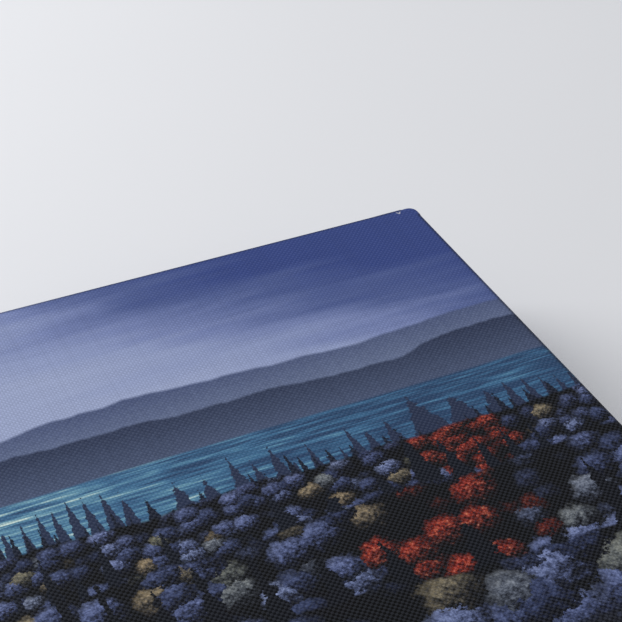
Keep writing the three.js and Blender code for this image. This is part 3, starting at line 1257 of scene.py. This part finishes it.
        def face(corners: tuple[int, ...], chart: tuple[str, float, float]) -> None:
            """Adds a face without doubled corners, and the part of the flat cloth that it lies on."""
            clean = tuple(dict.fromkeys(corners))
            if len(clean) > 2:
                faces.append(clean)
                charts.append(chart)

        for ix in range(nx - 1):
            for iy in range(ny - 1):
                face(
                    (front[ix][iy], front[ix + 1][iy], front[ix + 1][iy + 1], front[ix][iy + 1]),
                    ("front", 0, 0),
                )
                ring = (back[ix][iy], back[ix][iy + 1], back[ix + 1][iy + 1], back[ix + 1][iy])
                if None in ring:
                    continue
                mx, my = (xs[ix] + xs[ix + 1]) / 2, (ys[iy] + ys[iy + 1]) / 2
                long = self.half_y - abs(my) < self.half_x - abs(mx)
                face(ring, ("long" if long else "side", math.copysign(1, mx), math.copysign(1, my)))
        count = len(around)
        for i in range(count):
            k = (i + 1) % count
            a, b = around[i], around[k]
            ga, gb = a["grid"], b["grid"]
            mx, my = (xs[ga[0]] + xs[gb[0]]) / 2, (ys[ga[1]] + ys[gb[1]]) / 2
            flat_long = abs(a["out"][1]) > 0.999 and abs(b["out"][1]) > 0.999 and abs(mx) < fold
            chart = ("long" if flat_long else "side", math.copysign(1, mx), math.copysign(1, my))
            face((front[ga[0]][ga[1]], sleeve[0][i], sleeve[0][k], front[gb[0]][gb[1]]), ("front", 0, 0))
            for j in range(len(rings) - 1):
                face((sleeve[j][i], sleeve[j + 1][i], sleeve[j + 1][k], sleeve[j][k]), chart)
            face((sleeve[-1][i], back[ga[0]][ga[1]], back[gb[0]][gb[1]], sleeve[-1][k]), chart)

        def flat(mark: tuple, chart: tuple[str, float, float]) -> tuple[float, float]:
            """Finds a vertex's place on the flat cloth, on the part that a face lies on."""
            kind, sx, sy = chart
            edge_x, edge_y = self.half_x - self.edge_round, self.half_y - self.edge_round
            if mark[0] == "front":
                return mark[1], mark[2]
            if mark[0] == "back":
                _, x, y = mark
                if kind == "long":
                    return x, sy * (edge_y + total + edge_y - abs(y))
                return sx * (edge_x + total + edge_x - abs(x)), y
            _, run, x, y, angle = mark
            if kind == "front":
                return x + math.cos(angle) * r, y + math.sin(angle) * r
            if kind == "long":
                return x, sy * (edge_y + run)
            lift = math.asin(min(1.0, abs(math.sin(angle))))
            return sx * (edge_x + run), sy * (abs(y) + lift * self.plan_round + (gx - abs(x)))

        mesh = bpy.data.meshes.new("canvas_skin")
        mesh.from_pydata(verts, [], faces)
        layer = mesh.uv_layers.new(name="cloth")
        for polygon, chart in zip(mesh.polygons, charts):
            for loop in polygon.loop_indices:
                u, v = flat(marks[mesh.loops[loop].vertex_index], chart)
                layer.data[loop].uv = (u * MM, v * MM)
        mesh.shade_smooth()
        piece = bpy.data.objects.new("canvas_skin", mesh)
        bpy.context.collection.objects.link(piece)
        mesh.materials.append(printed)
        mesh.materials.append(raw)
        thick = piece.modifiers.new("cloth", "SOLIDIFY")
        thick.thickness = self.cloth * MM
        thick.offset = -1.0
        thick.material_offset = 1
        thick.material_offset_rim = 1
        bpy.ops.object.select_all(action="DESELECT")
        bpy.context.view_layer.objects.active = piece
        piece.select_set(True)
        bpy.ops.object.modifier_apply(modifier="cloth")
        bpy.ops.object.shade_smooth_by_angle(angle=math.radians(self.crease_angle))
        piece.select_set(False)
        return piece


@dataclass
class StretcherFrame:
    """The four pine rails and the wooden keys in their corners, as packed, with eased edges and real grain."""

    ease_rail: float = 0.5
    ease_key: float = 0.25
    rails: dict[str, tuple[GrainAxis, Point]] = field(
        default_factory=lambda: {
            "rail_top": (GrainAxis.ALONG_X, (0.0, -62.0, -48.0)),
            "rail_bottom": (GrainAxis.ALONG_X, (0.0, 118.0, 22.0)),
            "rail_right": (GrainAxis.ALONG_Y, (0.0, 96.0, -34.0)),
            "rail_left": (GrainAxis.ALONG_Y, (0.0, -120.0, 36.0)),
        }
    )

    def dress(self, nodes: dict[str, bpy.types.Object]) -> list[str]:
        """Gives the rails and keys their finish.

        Args:
            nodes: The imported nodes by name.

        Returns:
            The names of the dressed nodes.
        """
        done = []
        for name, (axis, heart) in self.rails.items():
            finish = PlanedWood(f"planed_pine_{name.split('_')[1]}", axis, heart).build()
            dress_node(nodes[name], finish, self.ease_rail)
            done.append(name)
        for lie, axis in (("long", GrainAxis.ALONG_Y), ("side", GrainAxis.ALONG_X)):
            finish = PlanedWood(
                f"sawn_beech_{lie}", axis, (0.0, -31.0, 24.0), "#d9b482", "#ab7743", 1.6, 0.72
            ).build()
            for corner in range(1, 5):
                name = f"key_{lie}_{corner}"
                dress_node(nodes[name], finish, self.ease_key)
                done.append(name)
        return done


@dataclass
class StapleRow:
    """The staples that hold the canvas, as packed, with rounded wire."""

    wire_round: float = 0.16

    def dress(self, nodes: dict[str, bpy.types.Object]) -> list[str]:
        """Gives the staples their finish.

        Args:
            nodes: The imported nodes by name.

        Returns:
            The names of the dressed nodes.
        """
        finish = GalvanisedWire().build()
        done = []
        for name, node in nodes.items():
            if name.startswith("staple_"):
                dress_node(node, finish, self.wire_round)
                done.append(name)
        return done

    @staticmethod
    def places(nodes: dict[str, bpy.types.Object]) -> list[tuple[float, float, float]]:
        """Finds each staple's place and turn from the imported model.

        Args:
            nodes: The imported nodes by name.

        Returns:
            X, Y in millimetres and the crown's turn.
        """
        found = []
        for name in nodes:
            if not name.startswith("staple_"):
                continue
            low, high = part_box(name)
            x, y = (low[0] + high[0]) / 2 / MM, (low[1] + high[1]) / 2 / MM
            wide, tall = high[0] - low[0], high[1] - low[1]
            if "corner" in name:
                turn = math.copysign(math.pi / 4, x * y)
            else:
                turn = 0.0 if wide > tall else math.pi / 2
            found.append((x, y, turn))
        return found


def dress_node(node: bpy.types.Object, finish: bpy.types.Material, eased: float) -> None:
    """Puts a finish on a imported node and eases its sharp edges.

    Args:
        node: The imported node.
        finish: The material.
        eased: Width of the bevel in millimetres.
    """
    if not node.material_slots:
        node.data.materials.append(finish)
    for slot in node.material_slots:
        slot.link = "OBJECT"
        slot.material = finish
    weld = node.modifiers.new("weld", "WELD")
    weld.merge_threshold = 0.00001
    bevel = node.modifiers.new("eased", "BEVEL")
    bevel.width = eased * MM
    bevel.segments = 2
    bevel.limit_method = "ANGLE"
    bevel.angle_limit = math.radians(30)


@dataclass
class Studio:
    """The pale floor, the soft lights and the camera."""

    place: Point = (-81.6, -320.7, 342.4)
    forward: Point = (0.3435, 0.7345, -0.5854)
    upward: Point = (0.2480, 0.5302, 0.8108)
    lens: float = 100.7
    floor_colours: tuple[str, str] = ("#d9dadd", "#dcdde0")
    sky_colour: str = "#f2f3f6"
    sky_strength: float = 0.52

    def floor(self) -> bpy.types.Object:
        """Lays the floor.

        Returns:
            The floor.
        """
        bpy.ops.mesh.primitive_plane_add(size=8.0, location=(0.0, 0.0, 0.0))
        floor = bpy.context.active_object
        floor.name = "floor"
        material, tree, shader = new_material("pale_floor")
        here = add(tree, "ShaderNodeTexCoord", output="Object")
        soft = add(tree, "ShaderNodeTexNoise", {"Vector": here, "Scale": 3.0, "Detail": 2.0})
        colour = add(
            tree,
            "ShaderNodeValToRGB",
            {"Fac": soft},
            ramp=[(0.3, self.floor_colours[0]), (0.7, self.floor_colours[1])],
        )
        tree.links.new(colour, shader.inputs["Base Color"])
        shader.inputs["Roughness"].default_value = 0.7
        floor.data.materials.append(material)
        return floor

    def light(self, name: str, place: Point, size: float, power: float) -> None:
        """Hangs one soft light that points at the middle of the part.

        Args:
            name: The light's name.
            place: Where it hangs, in metres.
            size: Its width in metres.
            power: Its power in watts.
        """
        data = bpy.data.lights.new(name, "AREA")
        data.shape = "DISK"
        data.size = size
        data.energy = power
        lamp = bpy.data.objects.new(name, data)
        bpy.context.collection.objects.link(lamp)
        lamp.location = place
        lamp.rotation_mode = "QUATERNION"
        lamp.rotation_quaternion = (-Vector(place)).to_track_quat("-Z", "Y")

    def camera(self) -> None:
        """Sets the camera up where the photographer stood."""
        data = bpy.data.cameras.new("camera")
        data.lens = self.lens
        data.sensor_width = 36.0
        data.clip_start = 0.01
        eye = bpy.data.objects.new("camera", data)
        bpy.context.collection.objects.link(eye)
        back = -Vector(self.forward).normalized()
        up = Vector(self.upward).normalized()
        right = up.cross(back).normalized()
        up = back.cross(right)
        turn = Matrix((right, up, back)).transposed()
        eye.location = Vector(self.place) * MM
        eye.rotation_mode = "QUATERNION"
        eye.rotation_quaternion = turn.to_quaternion()
        bpy.context.scene.camera = eye

    def build(self) -> None:
        """Builds the whole studio."""
        bpy.context.scene.view_settings.view_transform = "Standard"
        self.floor()
        self.light("window", (-0.65, 0.85, 0.65), 0.8, 13.8)
        self.light("fill", (0.9, -1.0, 1.5), 1.6, 8.9)
        world = bpy.context.scene.world or bpy.data.worlds.new("studio")
        bpy.context.scene.world = world
        world.use_nodes = True
        backdrop = world.node_tree.nodes["Background"]
        backdrop.inputs["Color"].default_value = linear(self.sky_colour)
        backdrop.inputs["Strength"].default_value = self.sky_strength
        self.camera()


def main() -> None:
    """Builds and dresses the whole part."""
    logging.basicConfig(level=logging.INFO, format="%(name)s: %(message)s")
    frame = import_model()
    nodes = frame["nodes"]
    bpy.ops.object.select_all(action="DESELECT")
    Studio().build()
    LOG.info("studio ready")

    printed, raw = PrintedCanvas().build(), RawCanvas().build()
    skin = CanvasSkin(staples=StapleRow.places(nodes))
    canvas = skin.build(printed, raw)
    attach(canvas, "root")
    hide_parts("canvas")
    LOG.info("canvas_skin: %d faces", len(canvas.data.polygons))
    for name in StretcherFrame().dress(nodes) + StapleRow().dress(nodes):
        LOG.info("%s dressed", name)


if __name__ == "__main__":
    main()
